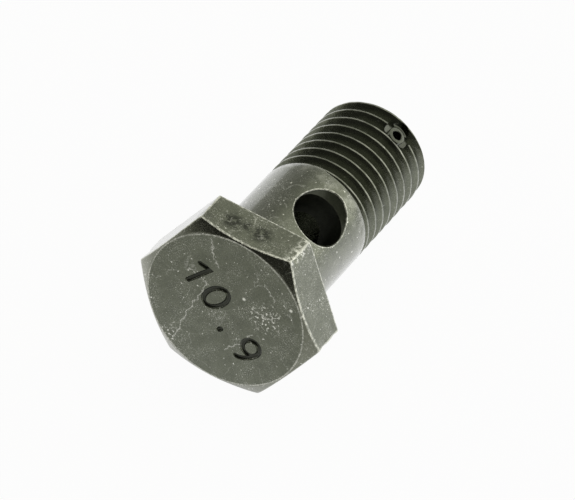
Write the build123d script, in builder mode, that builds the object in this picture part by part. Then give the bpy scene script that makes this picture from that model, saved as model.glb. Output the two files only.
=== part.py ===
"""Banjo bolt M12x1.5: a hexagon head bolt drilled hollow, so that fluid passes from a ring fitting to its tip.

Millimetres. The bolt lies on a table as it comes to rest: on one flat of its head and on the thread at its
tip. +Z is up, the tip points along +X, and the origin is on the table, under the middle of the bolt.
"""
import os
from math import atan2, cos, degrees, radians, sin, tan

from build123d import *

# Head
across_flats = 17.0
head_height = 4.7
head_face_diameter = 16.66
head_chamfer_angle = 30.0

# Stem: a plain shank under the head, then the threaded end
shank_diameter = 11.8
shank_length = 12.5
stem_length = 26.0
under_head_radius = 0.4
tip_chamfer = 1.0

# Right-hand thread, rolled up from a thinner core
thread_diameter = 11.76
thread_pitch = 1.5
thread_depth = 0.9
thread_angle = 60.0
crest_width = thread_pitch / 8

# Bore along the axis, drilled from the tip as far as the cross hole
bore_diameter = 4.5
bore_mouth_chamfer = 0.5
drill_point_angle = 118.0

# Cross hole through the shank, countersunk at both ends
cross_hole_diameter = 5.5
cross_hole_rim_diameter = 7.1
cross_hole_from_head = 7.6
countersink_angle = 90.0

# Small hole through the wall at the tip. A low collar stands round it, where the thread is cut away.
tip_hole_diameter = 1.0
tip_hole_from_end = 2.75
collar_diameter = 1.8
collar_below_shank = 0.2
clearing_diameter = 2.9
clearing_depth = 0.8
clearing_from_hole = 0.25

# Both holes lie on one line along the stem, almost in line with a corner of the head
corner_direction = 120.0
hole_direction = corner_direction - 1.5

shank_radius = shank_diameter / 2
thread_radius = thread_diameter / 2
root_radius = thread_radius - thread_depth
shank_end = head_height + shank_length
total_length = head_height + stem_length
cross_centre = head_height + cross_hole_from_head

# The ridge of the thread starts half a turn inside the shank and leaves its end where it crosses local X.
# It is swept past the tip, which is turned afterwards. Its foot is sunk into the core, to join it.
ridge_start = shank_end - thread_pitch / 2
ridge_end = total_length + thread_pitch / 2
blank_end = total_length + thread_pitch
ridge_sunk = 0.15
ridge_slope = tan(radians(thread_angle / 2))
foot_radius = root_radius - ridge_sunk
foot_width = crest_width + 2 * (thread_radius - foot_radius) * ridge_slope

# The bolt leans down to its tip, from the rear edge of the lower flat to the last full turn of the thread
resting_turn = 8
resting_crest = shank_end + (resting_turn - 0.25) * thread_pitch + crest_width / 2
lean = degrees(atan2(across_flats / 2 - thread_radius, resting_crest - head_height))
tip_radius = shank_radius - tip_chamfer
tip_reach = total_length * cos(radians(lean)) + tip_radius * sin(radians(lean))
face_reach = head_face_diameter / 2 * sin(radians(lean))
head_x = (face_reach - tip_reach) / 2
head_z = across_flats / 2 * cos(radians(lean)) + head_height * sin(radians(lean))

# Face of the head: its normal runs along the bolt to the tip, and its local Y is up
head_plane = Plane(
    origin=(head_x, 0, head_z),
    x_dir=(0, 1, 0),
    z_dir=(cos(radians(lean)), 0, -sin(radians(lean))),
)
bolt_axis = Axis(head_plane.origin, head_plane.z_dir)

# Half section through the axis: local X is the radius, local Y the distance from the head's face
turning_plane = Plane(origin=head_plane.origin, x_dir=head_plane.x_dir, z_dir=-head_plane.y_dir)

# Foot of the ridge where it starts
thread_plane = Plane(
    origin=head_plane.origin + head_plane.z_dir * ridge_start,
    x_dir=-head_plane.x_dir,
    z_dir=head_plane.z_dir,
)


def tangent_plane(distance, direction):
    """Plane that touches the stem at a distance from the head's face, with its normal pointing outwards."""
    outward = head_plane.x_dir.rotate(bolt_axis, direction)
    centre = head_plane.origin + head_plane.z_dir * distance
    return Plane(origin=centre + outward * shank_radius, x_dir=outward.cross(head_plane.z_dir), z_dir=outward)


# Ridge of the thread, standing on the origin
with BuildPart() as thread_ridge:
    with BuildLine() as ridge_path:
        Helix(pitch=thread_pitch, height=ridge_end - ridge_start, radius=root_radius)
    with BuildSketch(Plane.XZ):
        with BuildLine():
            Polyline(
                (foot_radius, -foot_width / 2),
                (thread_radius, -crest_width / 2),
                (thread_radius, crest_width / 2),
                (foot_radius, foot_width / 2),
                close=True,
            )
        make_face()
    sweep(path=ridge_path.wires()[0], is_frenet=True)

with BuildPart() as banjo_bolt:
    # Hexagon of the head, with one flat facing up
    with BuildSketch(head_plane):
        RegularPolygon(radius=across_flats / 2, side_count=6, major_radius=False)
    extrude(amount=head_height)

    # Turned chamfer that takes the corners off the head's face
    with BuildSketch(turning_plane):
        with BuildLine():
            Polyline(
                (head_face_diameter / 2, 0),
                (across_flats, 0),
                (across_flats, (across_flats - head_face_diameter / 2) * tan(radians(head_chamfer_angle))),
                close=True,
            )
        make_face()
    revolve(axis=bolt_axis, mode=Mode.SUBTRACT)

    # Turned stem: the shank and the core of the thread
    with BuildSketch(turning_plane):
        with BuildLine():
            Polyline(
                (0, head_height / 2),
                (shank_radius, head_height / 2),
                (shank_radius, shank_end),
                (root_radius, shank_end),
                (root_radius, blank_end),
                (0, blank_end),
                close=True,
            )
        make_face()
    revolve(axis=bolt_axis)

    # Small radius where the stem meets the bearing face
    def under_head(edge):
        return abs(head_plane.to_local_coords(edge.arc_center).Z - head_height) < under_head_radius

    fillet(banjo_bolt.edges().filter_by(GeomType.CIRCLE).filter_by(under_head), under_head_radius)

    # Bore from the tip, with the drill's point beyond the cross hole's axis
    bore_radius = bore_diameter / 2
    drill_point = bore_radius / tan(radians(drill_point_angle / 2))
    with BuildSketch(turning_plane):
        with BuildLine():
            Polyline(
                (0, cross_centre - drill_point),
                (bore_radius, cross_centre),
                (bore_radius, total_length - bore_mouth_chamfer),
                (bore_radius + bore_mouth_chamfer, total_length),
                (bore_radius + bore_mouth_chamfer, blank_end),
                (0, blank_end),
                close=True,
            )
        make_face()
    revolve(axis=bolt_axis, mode=Mode.SUBTRACT)

    # Cross hole, drilled and countersunk from both sides
    with Locations(
        tangent_plane(cross_centre, hole_direction),
        tangent_plane(cross_centre, hole_direction + 180),
    ):
        CounterSinkHole(
            radius=cross_hole_diameter / 2,
            counter_sink_radius=cross_hole_rim_diameter / 2,
            depth=shank_radius,
            counter_sink_angle=countersink_angle,
        )

    # Thread
    with Locations(thread_plane):
        add(thread_ridge.part)

    # Tip, faced and chamfered through the thread
    with BuildSketch(turning_plane):
        with BuildLine():
            Polyline(
                (0, total_length),
                (tip_radius, total_length),
                (tip_radius + 2 * tip_chamfer, total_length - 2 * tip_chamfer),
                (tip_radius + 2 * tip_chamfer, blank_end),
                (0, blank_end),
                close=True,
            )
        make_face()
    revolve(axis=bolt_axis, mode=Mode.SUBTRACT)

    # Round clearing in the thread, nearer the tip than the small hole's axis
    tip_hole_centre = total_length - tip_hole_from_end
    with Locations(tangent_plane(tip_hole_centre + clearing_from_hole, hole_direction)):
        Cylinder(radius=clearing_diameter / 2, height=2 * clearing_depth, mode=Mode.SUBTRACT)

    # Collar in the clearing, and the small hole through it into the bore
    with Locations(tangent_plane(tip_hole_centre, hole_direction).offset(-collar_below_shank)):
        Cylinder(
            radius=collar_diameter / 2,
            height=clearing_depth,
            align=(Align.CENTER, Align.CENTER, Align.MAX),
        )
        Hole(radius=tip_hole_diameter / 2, depth=shank_radius)

os.makedirs("parts", exist_ok=True)
banjo_bolt.part.label = "banjo_bolt"
export_step(banjo_bolt.part, "parts/banjo_bolt.step")
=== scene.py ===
# %% [markdown]
# # A banjo bolt, hollow and worn
# A banjo bolt carries fluid from a ring fitting into the hole that it is screwed into. It is one turned
# piece of steel, so here it is one mesh. The lesson builds that mesh in four steps: a skin of rings for
# everything that is turned or hexagonal, a Geometry Nodes ridge for the thread, solids that cut the holes
# and the stamped figures, and one material whose wear follows the shape.
#
# All sizes are in the bolt's own millimetres: z runs from the head's face to the tip, and the angle turns
# from local x to local y, which is the upper side of the lying bolt.

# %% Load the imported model
import math
from functools import partial

import bmesh
import bpy
import numpy as np
from mathutils import Matrix, Vector


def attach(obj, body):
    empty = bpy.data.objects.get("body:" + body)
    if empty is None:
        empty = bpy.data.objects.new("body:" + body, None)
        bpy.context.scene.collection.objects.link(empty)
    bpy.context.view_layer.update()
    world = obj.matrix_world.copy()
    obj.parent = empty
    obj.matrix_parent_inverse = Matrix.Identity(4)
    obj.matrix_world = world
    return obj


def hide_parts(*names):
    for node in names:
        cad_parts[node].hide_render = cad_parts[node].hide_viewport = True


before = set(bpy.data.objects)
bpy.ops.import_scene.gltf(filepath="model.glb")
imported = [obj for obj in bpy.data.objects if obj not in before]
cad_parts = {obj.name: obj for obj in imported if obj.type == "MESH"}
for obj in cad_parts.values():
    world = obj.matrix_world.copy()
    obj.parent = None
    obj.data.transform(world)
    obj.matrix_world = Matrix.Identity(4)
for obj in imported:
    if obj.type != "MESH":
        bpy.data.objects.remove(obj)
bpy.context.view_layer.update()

# %% [markdown]
# ## The sizes
# A model and its CAD part must agree, so the main sizes are those of the part. The small ones, such as how
# far an edge is eased, are only seen up close: no real edge is perfectly sharp, and the light line along it
# is what makes metal look like metal.

# %% Driving sizes in millimetres and degrees
across_flats = 17.0
head_height = 4.7
face_radius = 8.33
chamfer_angle = 30.0
corner_rounding = 0.16
edge_easing = 0.1

shank_radius = 5.9
shank_length = 12.5
stem_length = 26.0
under_head_radius = 0.4
thread_radius = 5.88
thread_depth = 0.9
thread_angle = 60.0
pitch = 1.5
tip_chamfer = 1.0

bore_radius = 2.25
bore_mouth = 0.5
drill_point_angle = 118.0
cross_hole_radius = 2.75
cross_hole_rim = 3.55
cross_hole_from_head = 7.6

# The small hole near the tip, its collar, and the round clearing of the thread
tip_hole_radius = 0.5
tip_hole_from_end = 2.75
collar_radius = 0.9
collar_below_shank = 0.2
clearing_radius = 1.45
clearing_depth = 0.8
clearing_from_hole = 0.25

# Both side holes lie almost in line with a corner of the head
hole_direction = 120.0 - 1.5
print("a hexagon of", across_flats, "mm and a thread of", 2 * shank_radius, "mm")

# %% Sizes that follow from them
shank_end = head_height + shank_length
total_length = head_height + stem_length
cross_centre = head_height + cross_hole_from_head
tip_hole_centre = total_length - tip_hole_from_end
root_radius = thread_radius - thread_depth
crest_width = pitch / 8
tip_radius = shank_radius - tip_chamfer
collar_top = shank_radius - collar_below_shank
clearing_floor = shank_radius - clearing_depth

# The core and the ridge are made longer than the bolt and trimmed at its tip
blank_end = total_length + pitch
print("the bolt is", total_length, "mm long, its thread", round(total_length - shank_end, 2), "mm")

# %% [markdown]
# ## The bolt's place on the table
# The bolt lies on one flat of its head and on the last full turn of its thread, so it leans down by a few
# degrees. Every mesh is made upright in millimetres, where the maths is easy, and this matrix lays it down
# in metres at the end. The origin is on the table, under the middle of the bolt.

# %% From the bolt's millimetres to the table's metres
resting_turn = 8
resting_crest = shank_end + (resting_turn - 0.25) * pitch + crest_width / 2
lean = math.atan2(across_flats / 2 - thread_radius, resting_crest - head_height)
tip_reach = total_length * math.cos(lean) + tip_radius * math.sin(lean)
face_reach = face_radius * math.sin(lean)
head_centre = Vector((
    (face_reach - tip_reach) / 2,
    0,
    across_flats / 2 * math.cos(lean) + head_height * math.sin(lean),
))
bolt_x = Vector((0, 1, 0))
bolt_y = Vector((math.sin(lean), 0, math.cos(lean)))
bolt_z = Vector((math.cos(lean), 0, -math.sin(lean)))
bolt_turn = Matrix((bolt_x, bolt_y, bolt_z)).transposed()
bolt_place = Matrix.Scale(0.001, 4) @ Matrix.Translation(head_centre) @ bolt_turn.to_4x4()
print("the bolt leans by", round(math.degrees(lean), 2), "degrees")

# %% [markdown]
# ## Camera
# The photograph was taken from far away with a long lens, so the bolt hardly tapers. The place, the
# direction and the lens were worked out from the corners of the hexagon and the turns of the thread.

# %% Camera
camera = bpy.data.objects.new("camera", bpy.data.cameras.new("camera"))
camera.data.sensor_width = 36
camera.data.lens = 295.75
camera.data.clip_start = 0.01
camera_place = (-0.292720, -0.116605, 0.334666)
forward = Vector((0.64009, 0.25714, -0.72399)).normalized()
upward = Vector((0.58930, 0.44032, 0.67739))
rightward = forward.cross(upward).normalized()
upward = rightward.cross(forward)
camera_turn = Matrix((rightward, upward, -forward)).transposed().to_4x4()
camera.matrix_world = Matrix.Translation(camera_place) @ camera_turn
bpy.context.scene.collection.objects.link(camera)
bpy.context.scene.camera = camera
bpy.context.scene.view_settings.view_transform = "Standard"
print("camera", [round(v, 3) for v in camera.matrix_world.translation], "lens", camera.data.lens, "mm")

# %% [markdown]
# ## Nodes written as Python
# Both the thread and the material are node trees. Wired up one by one, maths nodes are hard to read, so
# this class stands for one socket, and sums on it add the nodes. Every other node comes from one helper,
# which takes its type, its settings and what goes into its sockets.

# %% A socket that can be calculated with
class Signal:
    def __init__(self, tree, socket):
        self.tree = tree
        self.socket = socket

    def maths(self, operation, *values):
        return add(self.tree, "ShaderNodeMath", {"operation": operation}, dict(enumerate(values)))

    def __add__(self, other):
        return self.maths("ADD", self, other)

    def __radd__(self, other):
        return self.maths("ADD", other, self)

    def __sub__(self, other):
        return self.maths("SUBTRACT", self, other)

    def __rsub__(self, other):
        return self.maths("SUBTRACT", other, self)

    def __mul__(self, other):
        return self.maths("MULTIPLY", self, other)

    def __rmul__(self, other):
        return self.maths("MULTIPLY", other, self)

    def __truediv__(self, other):
        return self.maths("DIVIDE", self, other)

    def __rtruediv__(self, other):
        return self.maths("DIVIDE", other, self)

    def __abs__(self):
        return self.maths("ABSOLUTE", self)

    def root(self):
        return self.maths("SQRT", self)

    def sine(self):
        return self.maths("SINE", self)

    def cosine(self):
        return self.maths("COSINE", self)

    def larger(self, other):
        return self.maths("MAXIMUM", self, other)

    def smaller(self, other):
        return self.maths("MINIMUM", self, other)

    def rise(self, start, end):
        """0 up to start, 1 from end on, a smooth slope between them, and turned round where end is lower."""
        settings = {"interpolation_type": "SMOOTHSTEP"}
        if start < end:
            ends = {"From Min": start, "From Max": end, "To Min": 0.0, "To Max": 1.0}
        else:
            ends = {"From Min": end, "From Max": start, "To Min": 1.0, "To Max": 0.0}
        return add(self.tree, "ShaderNodeMapRange", settings, {"Value": self, **ends})

    def other(self, name):
        """Another output of the same node."""
        return Signal(self.tree, self.socket.node.outputs[name])


def add(tree, kind, settings=None, sockets=None, output=0):
    """Adds a node, sets its settings first, then its sockets by value or link, and returns one output."""
    node = tree.nodes.new(kind)
    for name, value in (settings or {}).items():
        setattr(node, name, value)
    for key, value in (sockets or {}).items():
        if isinstance(value, Signal):
            tree.links.new(value.socket, node.inputs[key])
        else:
            node.inputs[key].default_value = value
    return Signal(tree, node.outputs[output]) if len(node.outputs) else None


# %% [markdown]
# ## Helpers for closed skins
# A turned or hexagonal form is a stack of rings. Neighbouring rings are joined by quads, and a point closes
# each end, so the skin has an inside and an outside and can be cut like a solid.

# %% Skins from rings
def skin_from_rings(name, rings, start_point, end_point):
    """A closed mesh from rings of equally many points, from start_point to end_point along the axis."""
    count = len(rings[0])
    vertices = [start_point] + [point for ring in rings for point in ring] + [end_point]
    last = len(vertices) - 1
    faces = []
    for column in range(count):
        following = (column + 1) % count
        faces.append((0, 1 + following, 1 + column))
        for row in range(len(rings) - 1):
            low = 1 + row * count
            high = low + count
            faces.append((low + column, low + following, high + following, high + column))
        top = 1 + (len(rings) - 1) * count
        faces.append((top + column, top + following, last))
    mesh = bpy.data.meshes.new(name)
    mesh.from_pydata([tuple(point) for point in vertices], [], faces)
    return mesh


def turned_solid(name, outline, columns, placing=None):
    """A closed turned solid: outline is (radius, height) from axis to axis, and placing moves it."""
    turns = np.arange(columns) * 2 * math.pi / columns
    rings = [[(r * math.cos(t), r * math.sin(t), h) for t in turns] for r, h in outline[1:-1]]
    mesh = skin_from_rings(name, rings, (0, 0, outline[0][1]), (0, 0, outline[-1][1]))
    if placing:
        mesh.transform(placing)
    return mesh


def outward(mesh):
    """Turns every face of a closed mesh outwards, and prints what it holds."""
    edit = bmesh.new()
    edit.from_mesh(mesh)
    bmesh.ops.recalc_face_normals(edit, faces=edit.faces)
    loose = sum(1 for edge in edit.edges if len(edge.link_faces) != 2)
    volume = edit.calc_volume()
    edit.to_mesh(mesh)
    edit.free()
    print(mesh.name, len(mesh.polygons), "faces", round(volume, 2), "mm3,", loose, "open edges")
    return mesh


# %% [markdown]
# ## The turned skin: head, shank and core
# The real bolt starts as hexagon bar. The lathe turns the stem and bevels the corners off the head, and
# that bevel meets each flat in a curved line. A boolean of a prism and a cone would give the same lines,
# but with knife edges. Here every column of the skin knows the hexagon's radius in its own direction, so
# the bevel, the eased edges and the dents are all part of one formula.

# %% Directions of the columns
half_side = math.radians(30)
sector = 2 * half_side
rounding_centre = (across_flats / 2 - corner_rounding) / math.cos(half_side)
rounding_end = math.atan2(
    corner_rounding * math.sin(half_side), rounding_centre + corner_rounding * math.cos(half_side)
)
steps_on_corner = 3
steps_on_flat = 13


def hexagon_radius(angle):
    """Distance from the axis to the hexagon's skin. The corners lie at 0, 60, 120 degrees and so on."""
    from_corner = abs((angle + half_side) % sector - half_side)
    if from_corner < rounding_end:
        reach = rounding_centre * math.sin(from_corner)
        return rounding_centre * math.cos(from_corner) + math.sqrt(corner_rounding**2 - reach**2)
    return across_flats / 2 / math.cos(half_side - from_corner)


half_sector = [rounding_end * i / steps_on_corner for i in range(steps_on_corner)]
half_sector += [
    rounding_end + (half_side - rounding_end) * i / steps_on_flat for i in range(steps_on_flat)
]
columns = []
for corner in range(6):
    middle = corner * sector
    columns += [middle + a for a in half_sector]
    columns += [middle + sector - a for a in [half_side] + half_sector[:0:-1]]
hexagon = np.array([hexagon_radius(a) for a in columns])
columns = np.array(columns)
print(len(columns), "columns, corners at radius", round(float(hexagon.max()), 3), "mm")

# %% [markdown]
# ### Where the shank ends
# The rolls that press the thread leave off in a slope: the first turn rises out of the shank, and the
# groove beside it only opens after about a quarter of a turn. The shank's end follows that first turn for a
# while and then drops back.

# %% The shank's end edge round the bolt
run_out_angles = [-180, 0, 60, 88, 95, 106, 123, 145, 180]
run_out_heights = [0, 0, 0.25, 0.367, 0.17, 0.09, 0.05, 0, 0]
signed_angles = np.degrees((columns + math.pi) % (2 * math.pi) - math.pi)
shank_edge = shank_end + np.interp(signed_angles, run_out_angles, run_out_heights)
print("the shank ends between", round(shank_edge.min(), 2), "and", round(shank_edge.max(), 2), "mm")

# %% [markdown]
# ### The rings themselves
# The rings follow the outline from the face to the tip, and lie close together where it bends: a broad edge
# needs two or three of them to catch light. Long stretches have rings too, because a dent can only move the
# points that are there.

# %% Rings of the face, the bevel and the sides
bevel_slope = math.tan(math.radians(chamfer_angle))
rings = []


def ring(radius, height):
    """One more ring: radius and height are numbers, or one number for each column."""
    radius = np.broadcast_to(radius, columns.shape)
    height = np.broadcast_to(height, columns.shape)
    rings.append(np.stack([radius * np.cos(columns), radius * np.sin(columns), height], axis=1))


# The face, and its rim eased in two small steps
face_ring_radii = (1.0, 2.0, 3.0, 4.0, 5.0, 5.8, 6.5, 7.0, 7.4, 7.7, 7.95, 8.1, 8.2)
for radius in face_ring_radii:
    ring(radius, 0.0)
rim_easing = [(-0.06, 0.004), (0.02, 0.03)]
for outward_by, height in rim_easing:
    ring(face_radius + outward_by, height)

# The bevel runs out to the hexagon and is eased where it meets the flats
rim = face_radius + 0.06
bevel_end = np.maximum(hexagon - edge_easing, rim + 0.02)
for share in (0.0, 0.2, 0.4, 0.6, 0.8, 1.0):
    radius = rim + (bevel_end - rim) * share
    ring(radius, (radius - face_radius) * bevel_slope)
corner_height = (hexagon - face_radius) * bevel_slope
bevel_easing = [(-0.03, 0.01), (0.0, 0.07)]
for outward_by, above in bevel_easing:
    ring(hexagon + outward_by, corner_height + above)

# The sides, and the edge behind them
side_rings = 25
side_start = corner_height + 0.14
side_end = head_height - edge_easing
for share in np.linspace(0, 1, side_rings):
    ring(hexagon, side_start + (side_end - side_start) * share)
ring(hexagon - edge_easing * 0.25, head_height - edge_easing * 0.3)
ring(hexagon - edge_easing, head_height)
print(len(rings), "rings on the face, the bevel and the sides")

# %% Rings of the bearing face, the shank and the core
fillet_start = shank_radius + under_head_radius
fillet_end = head_height + under_head_radius
for share in (0.15, 0.5, 0.85, 1.0):
    ring(hexagon - edge_easing + (fillet_start - hexagon + edge_easing) * share, head_height)
for degrees in (22.5, 45, 67.5, 90):
    turn = math.radians(degrees)
    ring(
        fillet_start - under_head_radius * math.sin(turn),
        head_height + under_head_radius * (1 - math.cos(turn)),
    )

# The shank, and its far edge eased
shank_rings = 14
shank_far = shank_edge - 0.1
for share in np.linspace(0.05, 0.95, shank_rings):
    ring(shank_radius, fillet_end + (shank_far - fillet_end) * share)
shank_easing = [(0.0, -0.07), (-0.02, -0.02), (-0.07, 0.0)]
for outward_by, beyond in shank_easing:
    ring(shank_radius + outward_by, shank_edge + beyond)

# The core, which starts in a small fillet
core_fillet = 0.05
core_start = shank_edge + core_fillet
ring(root_radius + core_fillet, shank_edge)
ring(root_radius, core_start)
for share in (0.35, 0.7, 1.0):
    ring(root_radius, core_start + (blank_end - core_start) * share)
print(len(rings), "rings of", len(columns), "points")

# %% [markdown]
# ### Dents and nicks
# The bolt has been tightened and dropped: one corner is pushed in, its edges carry small nicks, and the
# stamped face isn't quite flat. Each dent moves the points near it inwards, most in its middle.

# %% Dents
def on_hexagon(degrees, height):
    """A point on the head's side."""
    angle = math.radians(degrees)
    radius = hexagon_radius(angle)
    return radius * math.cos(angle), radius * math.sin(angle), height


# Middle, size and depth of each
dents = [
    (on_hexagon(120, 1.5), 0.55, 0.16),
    (on_hexagon(120, 2.5), 0.4, 0.10),
    (on_hexagon(119.5, 3.6), 0.3, 0.07),
    (on_hexagon(120, 4.5), 0.5, 0.12),
    (on_hexagon(180, 1.9), 0.5, 0.10),
    (on_hexagon(180, 3.9), 0.4, 0.08),
    (on_hexagon(60, 1.6), 0.7, 0.14),
    (on_hexagon(60, 3.2), 0.4, 0.08),
    (on_hexagon(0, 2.2), 0.5, 0.12),
    (on_hexagon(-60, 2.8), 0.6, 0.12),
    (on_hexagon(-120, 1.4), 0.5, 0.14),
    (on_hexagon(140, 0.7), 0.35, 0.05),
    (on_hexagon(96, 0.5), 0.3, 0.05),
    ((4.6, -6.4, 0.0), 1.1, 0.03),
    ((-5.2, 4.0, 0.0), 1.4, 0.025),
    ((2.6, 5.6, 0.0), 1.2, 0.02),
]
points = np.array(rings)
height = points[:, :, 2]
radius = np.hypot(points[:, :, 0], points[:, :, 1])
inward_sideways = -points[:, :, :2] / radius[:, :, None]

# A dent on the head's side fades out near the face's rim, and leaves the shank alone
sides_from = 8.3
fades_over = 0.15
for middle, size, depth in dents:
    distance = np.linalg.norm(points - np.array(middle), axis=2)
    push = depth * np.exp(-((distance / size) ** 2))
    if middle[2] == 0.0:
        points[:, :, 2] += push
    else:
        on_side = np.clip((radius - sides_from) / fades_over, 0, 1)
        points[:, :, :2] += inward_sideways * (push * on_side)[:, :, None]
print(len(dents), "dents")

# %% The skin as a mesh
bolt_mesh = outward(skin_from_rings("bolt", points, (0, 0, 0), (0, 0, blank_end)))
bolt = bpy.data.objects.new("bolt_steel", bolt_mesh)
bpy.context.scene.collection.objects.link(bolt)

# %% [markdown]
# ## The thread
# A thread follows a rule, one pitch for each turn, so Geometry Nodes make it: points climb a helix, and a
# trapezoid is swept along the line through them. The crest is rounded and worn by a noise, so that it
# doesn't look moulded. The ridge starts inside the shank and runs past the tip, where it is trimmed with
# the rest.

# %% Inputs of the ridge
ridge_tree = bpy.data.node_groups.new("thread ridge", "GeometryNodeTree")
visible_turns = round((total_length - shank_end) / pitch)
ridge_inputs = {
    "Pitch": pitch,
    "Turns": visible_turns + 1.0,
    "Steps per turn": 120,
    "Start height": shank_end - pitch / 2,
    "Start angle": math.pi,
    "Root radius": root_radius,
    "Crest radius": thread_radius,
    "Crest width": crest_width,
    "Foot depth": 0.15,
    "Crest rounding": 0.05,
    "Wear": 0.045,
    "Seed": 7,
}
ridge_sockets = {}
for name, value in ridge_inputs.items():
    kind = "NodeSocketInt" if isinstance(value, int) else "NodeSocketFloat"
    ridge_sockets[name] = ridge_tree.interface.new_socket(name, in_out="INPUT", socket_type=kind)
ridge_sockets["Finish"] = ridge_tree.interface.new_socket(
    "Finish", in_out="INPUT", socket_type="NodeSocketMaterial"
)
ridge_tree.interface.new_socket("Ridge", in_out="OUTPUT", socket_type="NodeSocketGeometry")
group_input = ridge_tree.nodes.new("NodeGroupInput")
given = {name: Signal(ridge_tree, group_input.outputs[name]) for name in ridge_sockets}
print(len(given), "inputs of the thread's tree")

# %% Nodes of the ridge
ridge_node = partial(add, ridge_tree)

# Points on the helix
count = given["Turns"] * given["Steps per turn"] + 1
line = ridge_node("GeometryNodeMeshLine", {"mode": "OFFSET"}, {"Count": count})
turn = ridge_node("GeometryNodeInputIndex") / given["Steps per turn"]
angle = given["Start angle"] + turn * (2 * math.pi)
place = ridge_node(
    "ShaderNodeCombineXYZ",
    sockets={
        "X": given["Root radius"] * angle.cosine(),
        "Y": given["Root radius"] * angle.sine(),
        "Z": given["Start height"] + given["Pitch"] * turn,
    },
)
helix = ridge_node("GeometryNodeSetPosition", sockets={"Geometry": line, "Position": place})
helix = ridge_node("GeometryNodeMeshToCurve", sockets={"Mesh": helix})
helix = ridge_node("GeometryNodeSetCurveNormal", {"mode": "Z_UP"}, {"Curve": helix})

# Section of the ridge: x points away from the axis
depth = given["Crest radius"] - given["Root radius"]
half_crest = given["Crest width"] * 0.5
flank_slope = math.tan(math.radians(thread_angle / 2))
half_foot = half_crest + (depth + given["Foot depth"]) * flank_slope


def section_point(across, along):
    return ridge_node("ShaderNodeCombineXYZ", sockets={"X": across, "Y": along, "Z": 0.0})


section = ridge_node(
    "GeometryNodeCurvePrimitiveQuadrilateral",
    {"mode": "POINTS"},
    {
        "Point 1": section_point(0 - given["Foot depth"], 0 - half_foot),
        "Point 2": section_point(depth, 0 - half_crest),
        "Point 3": section_point(depth, half_crest),
        "Point 4": section_point(0 - given["Foot depth"], half_foot),
    },
)
section = ridge_node("GeometryNodeSubdivideCurve", sockets={"Curve": section, "Cuts": 2})
section = ridge_node(
    "GeometryNodeFilletCurve",
    {"mode": "POLY"},
    {"Curve": section, "Count": 2, "Radius": given["Crest rounding"], "Limit Radius": True},
)
ridge = ridge_node(
    "GeometryNodeCurveToMesh", sockets={"Curve": helix, "Profile Curve": section, "Fill Caps": True}
)

# Wear lowers the crest unevenly
position = ridge_node("GeometryNodeInputPosition")
parts = ridge_node("ShaderNodeSeparateXYZ", sockets={"Vector": position})
reach = (parts * parts + parts.other("Y") * parts.other("Y")).root()
near_crest = ((reach - given["Root radius"]) / depth).rise(0.6, 1.0)
patches = ridge_node(
    "ShaderNodeTexNoise",
    {"noise_dimensions": "4D"},
    {"Vector": position, "W": given["Seed"], "Scale": 0.9, "Detail": 3.0, "Roughness": 0.6},
)
loss = given["Wear"] * near_crest * patches.rise(0.42, 0.75) / reach
shift = ridge_node(
    "ShaderNodeCombineXYZ",
    sockets={"X": 0 - parts * loss, "Y": 0 - parts.other("Y") * loss, "Z": 0.0},
)
ridge = ridge_node("GeometryNodeSetPosition", sockets={"Geometry": ridge, "Offset": shift})
ridge = ridge_node("GeometryNodeRealizeInstances", sockets={"Geometry": ridge})
ridge = ridge_node("GeometryNodeSetMaterial", sockets={"Geometry": ridge, "Material": given["Finish"]})
group_output = ridge_tree.nodes.new("NodeGroupOutput")
ridge_tree.links.new(ridge.socket, group_output.inputs["Ridge"])
print(len(ridge_tree.nodes), "nodes in the thread's tree")

# %% [markdown]
# ### From nodes to a plain mesh
# The ridge has to be joined to the core, so the tree's result is kept as an ordinary mesh. The inputs are
# set by the identifiers of their sockets, because two sockets may share a name.

# %% The ridge as a mesh
steel = bpy.data.materials.new("steel_black_oxide")
steel.use_nodes = True
holder = bpy.data.objects.new("ridge", bpy.data.meshes.new("ridge"))
bpy.context.scene.collection.objects.link(holder)
modifier = holder.modifiers.new("thread", "NODES")
modifier.node_group = ridge_tree
for name, value in ridge_inputs.items():
    modifier[ridge_sockets[name].identifier] = value
modifier[ridge_sockets["Finish"].identifier] = steel
evaluated = holder.evaluated_get(bpy.context.evaluated_depsgraph_get())
ridge_mesh = bpy.data.meshes.new_from_object(evaluated)
bpy.data.objects.remove(holder)
reach = [math.hypot(v.co.x, v.co.y) for v in ridge_mesh.vertices]
print("ridge from radius", round(min(reach), 3), "to", round(max(reach), 3), "mm")
outward(ridge_mesh)

# %% [markdown]
# ## Cutting tools
# The holes are drilled in the real bolt, so the cutters here are the drills: turned solids with the drill's
# point or the countersink's cone. The tip is faced and bevelled by one more, a plug with a hollow cone.

# %% Drill of the bore and the turning tool of the tip
drill_point = bore_radius / math.tan(math.radians(drill_point_angle / 2))
beyond_blank = blank_end + 1
bore_tool = turned_solid(
    "bore",
    [
        (0, cross_centre - drill_point),
        (bore_radius, cross_centre),
        (bore_radius, total_length - bore_mouth),
        (bore_radius + 2 * bore_mouth, total_length + bore_mouth),
        (bore_radius + 2 * bore_mouth, beyond_blank),
        (0, beyond_blank),
    ],
    columns=96,
)
tip_tool = turned_solid(
    "tip",
    [
        (0, total_length),
        (tip_radius - 0.06, total_length),
        (tip_radius + 0.02, total_length - 0.02),
        (tip_radius + 2, total_length - 2),
        (tip_radius + 2.5, total_length - 2),
        (tip_radius + 2.5, beyond_blank),
        (0, beyond_blank),
    ],
    columns=192,
)
print("the bore's drill point is", round(drill_point, 2), "mm long")


# %% Drills of the two side holes, and the collar
def across_the_bolt(distance):
    """Turns a tool's z to point out of the shank in the holes' direction."""
    angle = math.radians(hole_direction)
    out = Vector((math.cos(angle), math.sin(angle), 0))
    along = Vector((0, 0, 1))
    turning = Matrix((along.cross(out), along, out)).transposed().to_4x4()
    return Matrix.Translation((0, 0, distance)) @ turning


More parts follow.
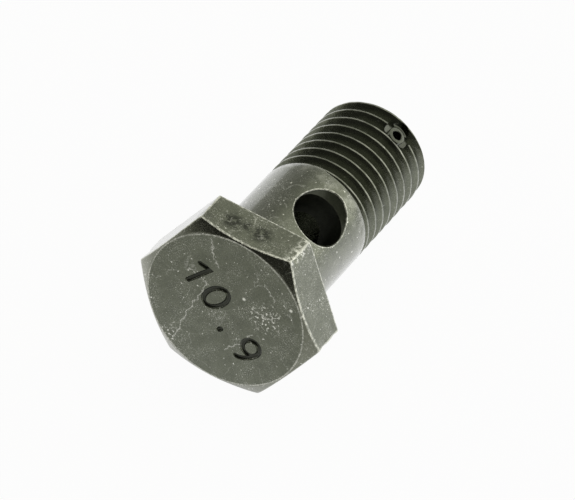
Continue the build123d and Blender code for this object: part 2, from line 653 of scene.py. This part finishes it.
rim_depth = shank_radius - (cross_hole_rim - cross_hole_radius)
cone_length = 2.0
cone_out = [
    (cross_hole_radius, rim_depth),
    (cross_hole_radius + 0.03, rim_depth + 0.015),
    (cross_hole_radius + cone_length, rim_depth + cone_length),
    (0, rim_depth + cone_length),
]
cross_tool = turned_solid(
    "cross hole",
    [(r, -h) for r, h in cone_out[::-1]] + cone_out,
    columns=128,
    placing=across_the_bolt(cross_centre),
)
outside = 7.0
clearing_tool = turned_solid(
    "clearing",
    [
        (0, clearing_floor),
        (clearing_radius - 0.25, clearing_floor),
        (clearing_radius - 0.07, clearing_floor + 0.07),
        (clearing_radius, clearing_floor + 0.25),
        (clearing_radius + 0.12, outside),
        (0, outside),
    ],
    columns=64,
    placing=across_the_bolt(tip_hole_centre + clearing_from_hole),
)
collar_foot = 4.6
collar = turned_solid(
    "collar",
    [
        (0, collar_foot),
        (collar_radius, collar_foot),
        (collar_radius, collar_top - 0.12),
        (collar_radius - 0.04, collar_top - 0.04),
        (collar_radius - 0.12, collar_top),
        (0, collar_top),
    ],
    columns=48,
    placing=across_the_bolt(tip_hole_centre),
)
inside_bore = 0.6
tip_hole_tool = turned_solid(
    "tip hole",
    [
        (0, inside_bore),
        (tip_hole_radius, inside_bore),
        (tip_hole_radius, collar_top - 0.06),
        (tip_hole_radius + 0.06, collar_top),
        (tip_hole_radius + 0.3, collar_top + 0.24),
        (0, collar_top + 0.24),
    ],
    columns=48,
    placing=across_the_bolt(tip_hole_centre),
)
print("the side holes point", hole_direction, "degrees round the bolt")

# %% [markdown]
# ### Stamped figures
# Bolt heads carry their strength class, and a plain one stands here. Each stroke is a thin round bar bent
# along the figure and sunk a little way into the face, as a worn punch leaves it.

# %% Bars of the figures
figure_height = 3.4
bar_radius = 0.29
bar_sunk = 0.23
row_tilt = math.radians(130)


def arc(x, y, width, height, start, end, steps):
    """Points on an ellipse, angles in degrees."""
    turns = [math.radians(start + (end - start) * i / steps) for i in range(steps + 1)]
    return [(x + width * math.cos(t), y + height * math.sin(t)) for t in turns]


# The centres of the figures on the face
one, nought, dot, nine = (3.35, 2.75), (1.17, 0.96), (-0.95, -1.25), (-3.0, -3.3)

# Each stroke's figure, whether it closes on itself, and its points in a box of height 1. A closed one leaves
# out its last step, which joins the last point to the first.
strokes = [
    (one, False, [(-0.26, 0.74), (-0.08, 0.84), (0.04, 0.98), (0.04, 0.0)]),
    (nought, True, arc(0, 0.5, 0.27, 0.46, 0, 360 - 15, 23)),
    (dot, False, [(0, 0.0), (0, 0.08)]),
    (nine, True, arc(0, 0.69, 0.26, 0.27, 0, 360 - 15, 23)),
    (nine, False, arc(-0.04, 0.66, 0.3, 0.62, 6, -78, 12)),
]
print(len(strokes), "strokes,", figure_height, "mm high")


# %% A round bar along a stroke
def bent_bar(name, points, closed, radius, sides=12):
    """A closed round bar along points in the plane z = 0, as a ring where closed, or else with domed ends."""
    points = [Vector((x, y, 0)) for x, y in points]
    rows = []
    for i, point in enumerate(points):
        before = points[i - 1] if closed or i else point
        after = points[(i + 1) % len(points)] if closed or i < len(points) - 1 else point
        side = (after - before).cross(Vector((0, 0, 1))).normalized()
        turns = [2 * math.pi * k / sides for k in range(sides)]
        rows.append([point + radius * (side * math.cos(t) + Vector((0, 0, math.sin(t)))) for t in turns])
    if closed:
        vertices = [p for row in rows for p in row]
        faces = []
        for i in range(len(rows)):
            low, high = i * sides, (i + 1) % len(rows) * sides
            faces += [
                (low + k, low + (k + 1) % sides, high + (k + 1) % sides, high + k) for k in range(sides)
            ]
        mesh = bpy.data.meshes.new(name)
        mesh.from_pydata([tuple(p) for p in vertices], [], faces)
        return mesh
    dome = 0.7
    ends = []
    caps = []
    for row, point, before in ((rows[0], points[0], points[1]), (rows[-1], points[-1], points[-2])):
        end = point + (point - before).normalized() * radius
        ends.append(end)
        caps.append([point + (p - point) * dome + (end - point) * dome for p in row])
    return skin_from_rings(name, [caps[0]] + rows + [caps[1]], ends[0], ends[1])


# %% The bars, laid on the face
# The face is seen against local z, so a figure's right is on the left of its up
figure_tools = []
figure_up = Vector((math.cos(row_tilt), math.sin(row_tilt)))
figure_right = Vector((-math.sin(row_tilt), math.cos(row_tilt)))
for number, (centre, closed, stroke) in enumerate(strokes):
    placed = []
    for x, y in stroke:
        spot = Vector(centre) + (figure_right * x + figure_up * (y - 0.5)) * figure_height
        placed.append((spot.x, spot.y))
    tool = bent_bar("figure %d" % number, placed, closed, bar_radius)
    tool.transform(Matrix.Translation((0, 0, bar_sunk - bar_radius)))
    figure_tools.append(tool)
print(len(figure_tools), "bars for the figures")

# %% [markdown]
# ## Joining and cutting
# Boolean modifiers do the lathe's and the drill's work in the order of the workshop: the ridge is joined to
# the core, the tip is turned through both, and then the holes are drilled. The manifold solver is quick and
# exact on closed skins, which is why every piece above was closed.

# %% Boolean steps
def work(body, tool_mesh, operation):
    """Joins a tool to the body or cuts it away, and keeps the result as the body's mesh."""
    outward(tool_mesh)
    tool = bpy.data.objects.new(tool_mesh.name, tool_mesh)
    bpy.context.scene.collection.objects.link(tool)
    step = body.modifiers.new(tool.name, "BOOLEAN")
    step.operation = operation
    step.solver = "MANIFOLD"
    step.object = tool
    result = body.evaluated_get(bpy.context.evaluated_depsgraph_get())
    mesh = bpy.data.meshes.new_from_object(result)
    body.modifiers.remove(step)
    body.data = mesh
    bpy.data.objects.remove(tool)
    print(operation.lower(), tool_mesh.name, "leaves", len(mesh.polygons), "faces")


work(bolt, ridge_mesh, "UNION")
for tool_mesh in (tip_tool, bore_tool, cross_tool, clearing_tool):
    work(bolt, tool_mesh, "DIFFERENCE")
work(bolt, collar, "UNION")
for tool_mesh in [tip_hole_tool] + figure_tools:
    work(bolt, tool_mesh, "DIFFERENCE")

# %% Smooth skin with crisp cuts, laid on the table
outward(bolt.data)
bolt.data.name = "bolt_steel"
bolt.data.shade_smooth()
bolt.data.set_sharp_from_angle(angle=math.radians(32))
bolt.data.transform(bolt_place)
bolt.data.materials.clear()
bolt.data.materials.append(steel)
bolt.data.update()
triangles = sum(len(p.vertices) - 2 for p in bolt.data.polygons)
print("the bolt has", triangles, "triangles")

# %% [markdown]
# ## Black oxide over steel
# The bolt was blackened in a hot bath and then used. The black layer is thin, so it wears to bare steel
# first along edges and crests, and in scratches. One metal shader holds both: masks decide where steel
# shows through. The coordinates are turned into the bolt's own millimetres, so that a mask can follow the
# head or the thread.

# %% Coordinates in the bolt's millimetres
steel.node_tree.nodes.clear()
steel_node = partial(add, steel.node_tree)
place = steel_node("ShaderNodeTexCoord", output="Object")
local = steel_node(
    "ShaderNodeMapping",
    {"vector_type": "TEXTURE"},
    {
        "Vector": place,
        "Location": head_centre * 0.001,
        "Rotation": bolt_turn.to_euler(),
        "Scale": (0.001, 0.001, 0.001),
    },
)
x = steel_node("ShaderNodeSeparateXYZ", sockets={"Vector": local})
y, z = x.other("Y"), x.other("Z")
reach = (x * x + y * y).root()


def noise(scale, detail=3.0, rough=0.55):
    """Soft noise from 0 to 1, its scale in patches for each millimetre."""
    return steel_node(
        "ShaderNodeTexNoise",
        {"noise_dimensions": "3D"},
        {
            "Vector": local,
            "Scale": scale,
            "Detail": detail,
            "Roughness": rough,
        },
    )


print("the steel's coordinates are in millimetres from the head's face")

# %% Where each part of the bolt lies
on_head = z.rise(head_height + 0.05, head_height - 0.02)
in_thread = z.rise(shank_end, shank_end + 0.3)
on_shank = (1 - on_head) * (1 - in_thread)
on_face = z.rise(0.1, 0.05)

# Distances from the axis across each pair of flats: the largest is 8.5 on a flat, and at a corner two are
slant = math.cos(half_side)
across = [abs(y), abs(x * slant + y * 0.5), abs(x * slant - y * 0.5)]
farthest = across[0].larger(across[1]).larger(across[2])
nearest = across[0].smaller(across[1]).smaller(across[2])
second_farthest = across[0] + across[1] + across[2] - farthest - nearest
from_flat = across_flats / 2 - farthest
from_corner = across_flats / 2 - second_farthest
above_bevel = z - (reach - face_radius) * bevel_slope
on_side = on_head * from_flat.rise(0.06, 0.02)
on_bevel = on_head * above_bevel.rise(0.06, 0.03) * reach.rise(face_radius, face_radius + 0.04)


def facing(degrees, low, high):
    """Rises from 0 to 1 over two distances from the axis, towards a direction round the bolt."""
    turn = math.radians(degrees)
    return (x * math.cos(turn) + y * math.sin(turn)).rise(low, high)


print("the bolt's head, shank, thread, face, sides and bevel are marked")

# %% Round the holes
hole_turn = math.radians(hole_direction)
hole_out = x * math.cos(hole_turn) + y * math.sin(hole_turn)
hole_side = y * math.cos(hole_turn) - x * math.sin(hole_turn)


def from_hole_axis(centre):
    """Distance from the axis of a side hole, whose centre is given along the bolt."""
    along = z - centre
    return (hole_side * hole_side + along * along).root()


from_hole = from_hole_axis(cross_centre)
# The inside of the cross hole and the clearing round the collar are marked here, and get painted shade later
in_hole = reach.rise(shank_radius - 0.04, shank_radius - 0.12) * from_hole.rise(4.2, 4.0)
near_collar = from_hole_axis(tip_hole_centre).rise(1.9, 1.4) * hole_out.rise(4.5, 4.6)
print("the cross hole starts", round(cross_centre - cross_hole_rim, 2), "mm from the face")

# %% [markdown]
# ### Edges
# An edge is where a distance is small: the distance to a flat, to the bevel's cone or to the next flat's
# plane. Where two surfaces meet, the larger of both distances is small only on the line itself. Factors
# widen or narrow a line on one side of it, because a flat and a bevel aren't worn to the same width. The
# light line along an edge is partly bare steel and partly a painted highlight, which stands in for the glint
# of a rounded edge.

# %% Masks of the edges, 1 on the edge
edge_width = 0.24
core_width = 0.10


def beside(distance):
    return distance.rise(edge_width, core_width)


bevel_edge = beside((from_flat * 3).larger(abs(above_bevel) * 0.7)) * z.rise(2.0, 1.5)
past_rim = reach - face_radius
face_rim = beside((past_rim * 4).larger(past_rim * -2)) * z.rise(0.12, 0.06)
corner_edge = beside(from_corner) * on_head
rear_edge = beside(from_flat.larger(abs(z - head_height)))
cone_here = (abs(hole_out) - rim_depth).larger(0.0) + cross_hole_radius
# The cross hole's rim line is bare steel and a painted highlight, standing in for the glint of its edge
hole_edge = beside(abs(from_hole - cone_here) * 1.7) * reach.rise(5.7, 5.8) * on_shank
edges = bevel_edge.larger(face_rim).larger(corner_edge).larger(rear_edge).larger(hole_edge)
print("edges are bare to", edge_width, "mm from the line")

# %% [markdown]
# ### Wear
# A used bolt is bare where something has touched it. Tools and falls take the edges off in places, a
# spanner leaves knocks beside the corner that it slipped over, sand leaves specks, and the long scratches
# on the face come from single mishaps. So each kind has its own mask, and noise breaks all of them up. The
# sum says how much steel shows.

# %% Noises, and wear with a painted highlight along the edges
mottling = noise(0.8, 5.0, 0.65)
grain = noise(6.0, 4.0, 0.75)
patches = noise(0.35, 4.0, 0.6)
dust = noise(9.0, 2.0, 0.6)
chips = noise(3.2, 2.0, 0.6)

# Edges are bare, with a painted highlight, only in places, and corners almost everywhere
gaps = 0.25 + 0.75 * noise(3.2, 4.0, 0.7).rise(0.46, 0.56)
edge_wear_and_highlight = edges * gaps.larger(corner_edge * 0.8)

# Knocks beside the upper corner that points away from local x
on_knocked_corner = (y - x).rise(12.2, 12.6) * on_head
knocks = beside(from_corner * 0.3) * noise(2.4, 4.0, 0.7).rise(0.50, 0.58) * on_knocked_corner
on_crest = in_thread * reach.rise(thread_radius - 0.10, thread_radius - 0.02)
crest_wear = on_crest * noise(1.3, 4.0, 0.6).rise(0.35, 0.7)

# The ring fitting has rubbed the shank beside the thread
rubbed = on_shank * z.rise(14.5, 16.6) * noise(0.9, 5.0, 0.7).rise(0.42, 0.68)

# Fine specks, thicker in some patches, and larger ones everywhere
specks = dust.rise(0.56, 0.66) * patches.rise(0.40, 0.60)
large_specks = noise(2.6, 3.0, 0.6).rise(0.66, 0.70)
print(len(steel.node_tree.nodes), "nodes so far")

# %% Scratches like cracks
# Lines between cells, bent by a noise and broken by two others
bent = steel_node(
    "ShaderNodeVectorMath",
    {"operation": "MULTIPLY_ADD"},
    {0: noise(0.6, 3.0).other("Color"), 1: (2.2, 2.2, 2.2), 2: local},
)
cells = steel_node(
    "ShaderNodeTexVoronoi", {"feature": "DISTANCE_TO_EDGE"}, {"Vector": bent, "Scale": 0.2}, "Distance"
)
scratches = cells.rise(0.018, 0.004) * noise(0.5, 4.0, 0.7).rise(0.48, 0.58) * dust.rise(0.35, 0.55)
scratches = scratches * (1 - in_thread)
print(len(steel.node_tree.nodes), "nodes with the cracks")

# %% The longest scratches on the face
# Each is a bent line in millimetres on the face, and noise makes it waver
face_scratches = [
    [(2.3, 2.0), (3.2, -0.8), (3.8, -3.0), (4.3, -6.1)],
    [(2.3, 2.0), (3.3, 2.5), (4.5, 2.6)],
    [(3.0, 7.3), (2.4, 5.4), (1.5, 4.5)],
    [(-2.6, 1.7), (-4.3, 1.5), (-5.4, 2.2)],
    [(-0.9, -4.6), (-2.2, -2.8), (-3.2, -1.2)],
    [(-3.4, 5.2), (-4.6, 3.9)],
]
waver = 1.1
wavy_x = x + (noise(1.1, 3.0, 0.6) - 0.5) * waver
wavy_y = y + (noise(1.3, 3.0, 0.6) - 0.5) * waver


def from_line(start, end):
    """Distance from a straight scratch, in its own plane."""
    run = Vector(end) - Vector(start)
    unit = run.normalized()
    middle = (Vector(start) + Vector(end)) / 2
    along = wavy_x * unit.x + wavy_y * unit.y - middle.dot(unit)
    aside = wavy_y * unit.x - wavy_x * unit.y - (middle.y * unit.x - middle.x * unit.y)
    beyond = (abs(along) - run.length / 2).larger(0.0)
    return (beyond * beyond + aside * aside).root()


distances = [from_line(*ends) for line in face_scratches for ends in zip(line, line[1:])]
nearest_line = distances[0]
for distance in distances[1:]:
    nearest_line = nearest_line.smaller(distance)
face_lines = nearest_line.rise(0.09, 0.02) * on_face * dust.rise(0.36, 0.50)
print(len(distances), "straight stretches of scratch on the face")


# %% Spots: chips on the face, and smudges on the upper flat
def spot(across, along, centre, size):
    """1 in the middle of a spot, falling to 0 at its size, from any two coordinates."""
    across, along = across - centre[0], along - centre[1]
    return (across * across + along * along).root().rise(size, size * 0.3)


# Two clusters of chips close together, and two single chips
clusters = spot(x, y, (-4.2, 1.5), 2.4).larger(spot(x, y, (4.9, -5.9), 1.5)) * chips.rise(0.58, 0.64)
clusters = clusters.larger(spot(x, y, (-1.6, 2.4), 0.24)).larger(spot(x, y, (-6.4, 3.8), 0.24))
clusters = clusters * on_face

# Oily dirt in three blots that run into each other
smudges = spot(x, z, (2.1, 2.3), 1.6).larger(spot(x, z, (0.7, 2.5), 0.8))
smudges = smudges.larger(spot(x, z, (-0.8, 2.4), 1.6)) * y.rise(8.3, 8.4)
smudges = smudges * noise(2.4, 4.0, 0.75).rise(0.40, 0.52)
# The floors of the stamped figures, which get painted shade
figures = z.rise(0.05, 0.18) * z.rise(1.0, 0.9) * reach.rise(7.6, 7.5)
print(len(steel.node_tree.nodes), "nodes with the spots")

# %% How much bare steel and painted edge highlight shows
wear = (
    # The edges' share is bare steel and a painted highlight
    edge_wear_and_highlight * 0.95
    + crest_wear * 0.2
    + knocks * 0.7
    + specks * (0.5 - in_thread * 0.4)
    + large_specks * (0.9 - in_thread * 0.7)
    + scratches * 0.25
    + clusters
    + face_lines * 0.6
    + rubbed * 0.2
).smaller(1.0)
wear = wear * (1 - in_hole) * (1 - figures)
print(len(steel.node_tree.nodes), "nodes with the wear")

# %% [markdown]
# ### Tones of the oxide, and painted light and shade
# The oxide itself is a metal's colour: dark, warm and a little green. Its tone changes over the bolt. The
# bevel is lighter, partly because the layer is thinner there and partly as a painted reflection. Painted
# shade darkens the grooves, the cross hole, the clearing round the collar and the figures, and the grooves
# also hold darker oxide. The shank's left side and the bevel's right side carry a painted reflection, and
# the shank's top a painted shade. The table below lays one tone over the other, each only where its mask
# says.

# %% Colour
def blend(factor, first, second):
    sockets = {0: factor, 6: first, 7: second}
    return steel_node("ShaderNodeMix", {"data_type": "RGBA"}, sockets, output=2)


blotches = on_shank * noise(0.7, 5.0, 0.7).rise(0.50, 0.62)
in_groove = in_thread * reach.rise(5.8, 5.3)

# How strongly each tone covers the ones before it, and its colour
tones = {
    "pale grain": (grain.rise(0.35, 0.75) * (0.6 + on_side * 0.4), (0.20, 0.212, 0.158)),
    # Painted shade in the thread's groove, laid over oxide that is darker there
    "thread's groove, darker oxide and painted shade": (in_groove * 0.25, (0.045, 0.05, 0.042)),
    # The bevel is lighter, partly as thinner oxide and partly as a painted reflection
    "bevel": (on_bevel * 0.5, (0.22, 0.225, 0.175)),
    # A painted reflection lightens the bevel on its right side
    "painted reflection on the bevel's right": (facing(-30, 6.0, 9.0) * on_bevel * 0.4, (0.50, 0.51, 0.43)),
    # Painted shade darkens the top of the shank
    "painted shade on the shank's top": (facing(72, 5.55, 5.9) * on_shank * 0.5, (0.035, 0.040, 0.025)),
    # A painted reflection lightens the left side of the shank
    "painted reflection on the shank's left": (facing(172, 5.3, 5.9) * on_shank * 0.25, (0.36, 0.37, 0.31)),
    "blotches": (blotches * 0.45, (0.045, 0.050, 0.033)),
    "smudges": (smudges * 0.85, (0.025, 0.028, 0.020)),
    # Painted shade darkens the inside of the cross hole
    "cross hole": (in_hole * 0.65, (0.02, 0.022, 0.018)),
    # Painted shade darkens the clearing round the collar
    "painted shade round the collar": (near_collar * 0.6, (0.035, 0.040, 0.028)),
    # Painted shade darkens the stamped figures
    "figures": (figures * 0.8, (0.015, 0.016, 0.014)),
}
thin_oxide = (0.086, 0.096, 0.063, 1)
thick_oxide = (0.136, 0.148, 0.104, 1)
# Bare steel, which along the edges also serves as a painted highlight
bare_steel_and_highlight = (0.88, 0.885, 0.81, 1)
colour = blend(mottling.rise(0.3, 0.7), thin_oxide, thick_oxide)
for cover, tone in tones.values():
    colour = blend(cover, colour, (*tone, 1))
colour = blend(wear, colour, bare_steel_and_highlight)
print("over the oxide's own two tones:", ", ".join(tones))

# %% [markdown]
# ### Shine and relief
# The bolt is oiled, which is a second, smoother coat over the rough oxide. It gives the flats their even
# sheen and is thinner in the oily smudges, the cross hole and the figures. The relief is only a few
# hundredths of a millimetre deep, so it is a bump and no shape.

# %% Roughness, bump and shader
roughness = (
    0.16
    + mottling * 0.10
    + grain * 0.12
    - on_bevel * 0.04
    + in_hole * 0.3
    + edge_wear_and_highlight * 0.45
    + face_lines * 0.2
)
relief = grain * 0.9 + mottling * 1.2 + noise(14.0, 2.0) * 0.5 - (scratches + face_lines) * 0.8
bump = steel_node("ShaderNodeBump", sockets={"Strength": 1.0, "Distance": 0.000014, "Height": relief})
thin_coat = in_hole.larger(figures).larger(smudges)
shader = steel_node(
    "ShaderNodeBsdfPrincipled",
    sockets={
        "Base Color": colour,
        "Metallic": 1.0,
        "Roughness": roughness,
        "Normal": bump,
        "Coat Weight": 1 - thin_coat * 0.65,
        "Coat Roughness": 0.12,
        "Coat IOR": 1.5,
    },
)
steel_node("ShaderNodeOutputMaterial", sockets={"Surface": shader})
print(len(steel.node_tree.nodes), "nodes in the steel")

# %% [markdown]
# ## Floor and light
# The bolt lies on white paper in a bright tent of cloth. For the camera and for reflections the paper shows
# as white, with just a little of its own shading left, so that the shadow under the bolt stays. The tent is
# the world: white all round, except for a dark gap on the camera's side, which the bevels of the head
# mirror.

# %% Floor
paper_reach = 2.0
corners = [(-1, -1), (1, -1), (1, 1), (-1, 1)]
floor_mesh = bpy.data.meshes.new("floor")
floor_mesh.from_pydata([(paper_reach * x, paper_reach * y, 0) for x, y in corners], [], [(0, 1, 2, 3)])
floor = bpy.data.objects.new("floor", floor_mesh)
bpy.context.scene.collection.objects.link(floor)
print("the paper is", 2 * paper_reach, "m wide")

# %% Paper
# White to the camera, and in reflections whiter on the far side of the bolt than in front of it
paper = bpy.data.materials.new("paper")
paper.use_nodes = True
paper.node_tree.nodes.clear()
paper_node = partial(add, paper.node_tree)
seen = paper_node("ShaderNodeLightPath", output="Is Camera Ray")
mirrored = seen.other("Is Glossy Ray").larger(seen.other("Is Transmission Ray"))
on_paper = paper_node("ShaderNodeTexCoord", output="Object")
far_side = paper_node("ShaderNodeSeparateXYZ", sockets={"Vector": on_paper}).rise(-0.035, -0.005)
whiteness = (seen * 0.96).larger(mirrored * (0.3 + 0.7 * far_side))
matt = paper_node("ShaderNodeBsdfDiffuse", sockets={"Color": (0.82, 0.82, 0.82, 1)})
white = paper_node("ShaderNodeEmission", sockets={"Color": (1, 1, 1, 1), "Strength": 1.0})
mixed = paper_node("ShaderNodeMixShader", sockets={0: whiteness, 1: matt, 2: white})
paper_node("ShaderNodeOutputMaterial", sockets={"Surface": mixed})
floor_mesh.materials.append(paper)
print(len(paper.node_tree.nodes), "nodes in the paper")

# %% The tent of light
world = bpy.data.worlds.new("tent")
world.use_nodes = True
world.node_tree.nodes.clear()
bpy.context.scene.world = world
world_node = partial(add, world.node_tree)
direction = world_node("ShaderNodeTexCoord", output="Generated")


def towards(x, y, z):
    """The cosine of the angle between a ray and a direction."""
    middle = Vector((x, y, z)).normalized()
    settings = {"operation": "DOT_PRODUCT"}
    return world_node("ShaderNodeVectorMath", settings, {0: direction, 1: middle}, output="Value")


# The gap is nearly black, and the cloth opposite to it lets half as much light through
gap = towards(-0.85, 0.05, 0.52).rise(0.36, 0.62)
thick_cloth = towards(0.72, 0.62, 0.30).rise(0.70, 0.97)
brightness = (1 - 0.95 * gap) * (1 - 0.5 * thick_cloth)

# The cloth is a little yellow in what the bolt mirrors, and plain white behind it
seen = world_node("ShaderNodeLightPath", output="Is Camera Ray")
yellowish, pure = (1.0, 1.0, 0.90, 1), (1, 1, 1, 1)
cloth = world_node("ShaderNodeMix", {"data_type": "RGBA"}, {0: seen, 6: yellowish, 7: pure}, output=2)
strength = brightness.larger(seen)
tent = world_node("ShaderNodeBackground", sockets={"Color": cloth, "Strength": strength})
world_node("ShaderNodeOutputWorld", sockets={"Surface": tent})
print(len(world.node_tree.nodes), "nodes in the tent")

# %% A soft lamp on the right
lamp = bpy.data.lights.new("right softbox", "AREA")
lamp.shape = "RECTANGLE"
lamp.size = 0.30
lamp.size_y = 0.20
lamp.energy = 0.08
softbox = bpy.data.objects.new("right softbox", lamp)
softbox.location = (0.30, -0.30, 0.12)
bolt_middle = Vector((0, 0, 0.008))
softbox.rotation_euler = (bolt_middle - softbox.location).to_track_quat("-Z", "Y").to_euler()
bpy.context.scene.collection.objects.link(softbox)
print("lamp of", lamp.energy, "W")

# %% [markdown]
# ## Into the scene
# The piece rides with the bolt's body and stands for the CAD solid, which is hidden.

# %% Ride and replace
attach(bolt, "root")
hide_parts("banjo_bolt")
